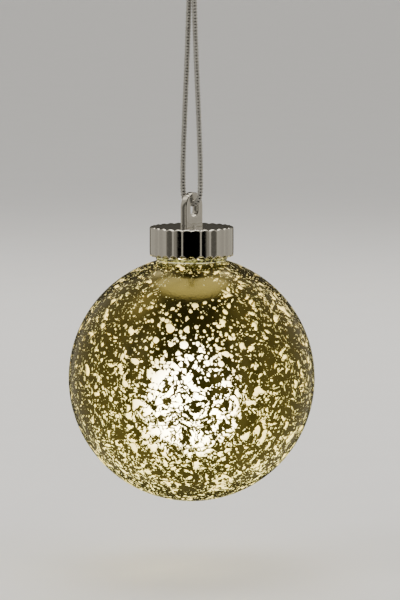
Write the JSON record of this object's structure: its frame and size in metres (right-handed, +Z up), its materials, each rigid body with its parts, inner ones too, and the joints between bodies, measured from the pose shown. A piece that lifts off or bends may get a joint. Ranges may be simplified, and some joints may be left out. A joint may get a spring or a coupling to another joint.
{
  "type": "lit glass ball ornament",
  "caption": "Speckled metallised glass ball ornament with an inner lamp, a fluted screw cap, an arched hanging eye and a braided cord loop.",
  "frame": {"origin": "middle of the knot at the top of the cord loop, the point that the ornament hangs from", "axes": "+Z up along the hanging axis, X along the width of the hanging eye, Y through the eye's slot"},
  "size_m": [0.1, 0.1, 0.222],
  "materials": {
    "metallic_cord": "round braid of silver metallic yarn over a dark core",
    "chrome_plate": "bright mirror plate",
    "mercury_glass": "gold mirror coat with clear speckles, clear tinted neck",
    "black_rubber": "matt",
    "black_plastic": "fine moulded grain",
    "white_plastic": "smooth moulded",
    "frosted_plastic": "frosted, lit from inside",
    "clear_epoxy": "clear lens",
    "screw_steel": "zinc plated",
    "cell_steel": "brushed can",
    "spring_steel": "nickel plated",
    "switch_steel": "pressed can",
    "lead_wire": "tinned",
    "board_laminate": "green solder mask",
    "chip_epoxy": "moulded epoxy"
  },
  "bodies": {
    "cord_loop": {"cord": "metallic_cord", "cord_knot": "metallic_cord", "cord_end_front": "metallic_cord", "cord_end_back": "metallic_cord"},
    "cap": {"cap_shell": "chrome_plate", "hanging_eye": "chrome_plate", "eye_clip": "spring_steel"},
    "washer": {"seal_washer": "black_rubber"},
    "ball": {"glass_ball": "mercury_glass", "neck_collar": "black_plastic", "battery_box": "black_plastic", "box_lid": "black_plastic", "lid_screws": "screw_steel", "coin_cell": "cell_steel", "contact_strip": "spring_steel", "contact_spring": "spring_steel", "circuit_board": "board_laminate", "timer_chip": "chip_epoxy", "resistor": "chip_epoxy", "switch_body": "switch_steel", "lamp_stem": "white_plastic", "lamp_leads": "lead_wire", "lamp_led": "clear_epoxy", "diffuser": "frosted_plastic"},
    "switch": {"switch_knob": "white_plastic"}
  },
  "joints": [
    {"name": "ornament_swing", "type": "hinge", "parent": "cord_loop", "child": "cap", "pos_m": [0, 0, -0.0858], "axis": [1, 0, 0], "range_deg": [-45, 45]},
    {"name": "washer_drop", "type": "slide", "parent": "cap", "child": "washer", "axis": [0, 0, -1], "range_m": [0, 0.0045]},
    {"name": "ball_unscrew", "type": "hinge", "parent": "washer", "child": "ball", "pos_m": [0, 0, -0.104], "axis": [0, 0, -1], "range_deg": [0, 540]},
    {"name": "switch_slide", "type": "slide", "parent": "ball", "child": "switch", "axis": [0, 1, 0], "range_m": [0, 0.002]}
  ],
  "couplings": [
    {"joint": "washer_drop", "follows": "ball_unscrew", "m_per_rad": 0.00047746}
  ]
}
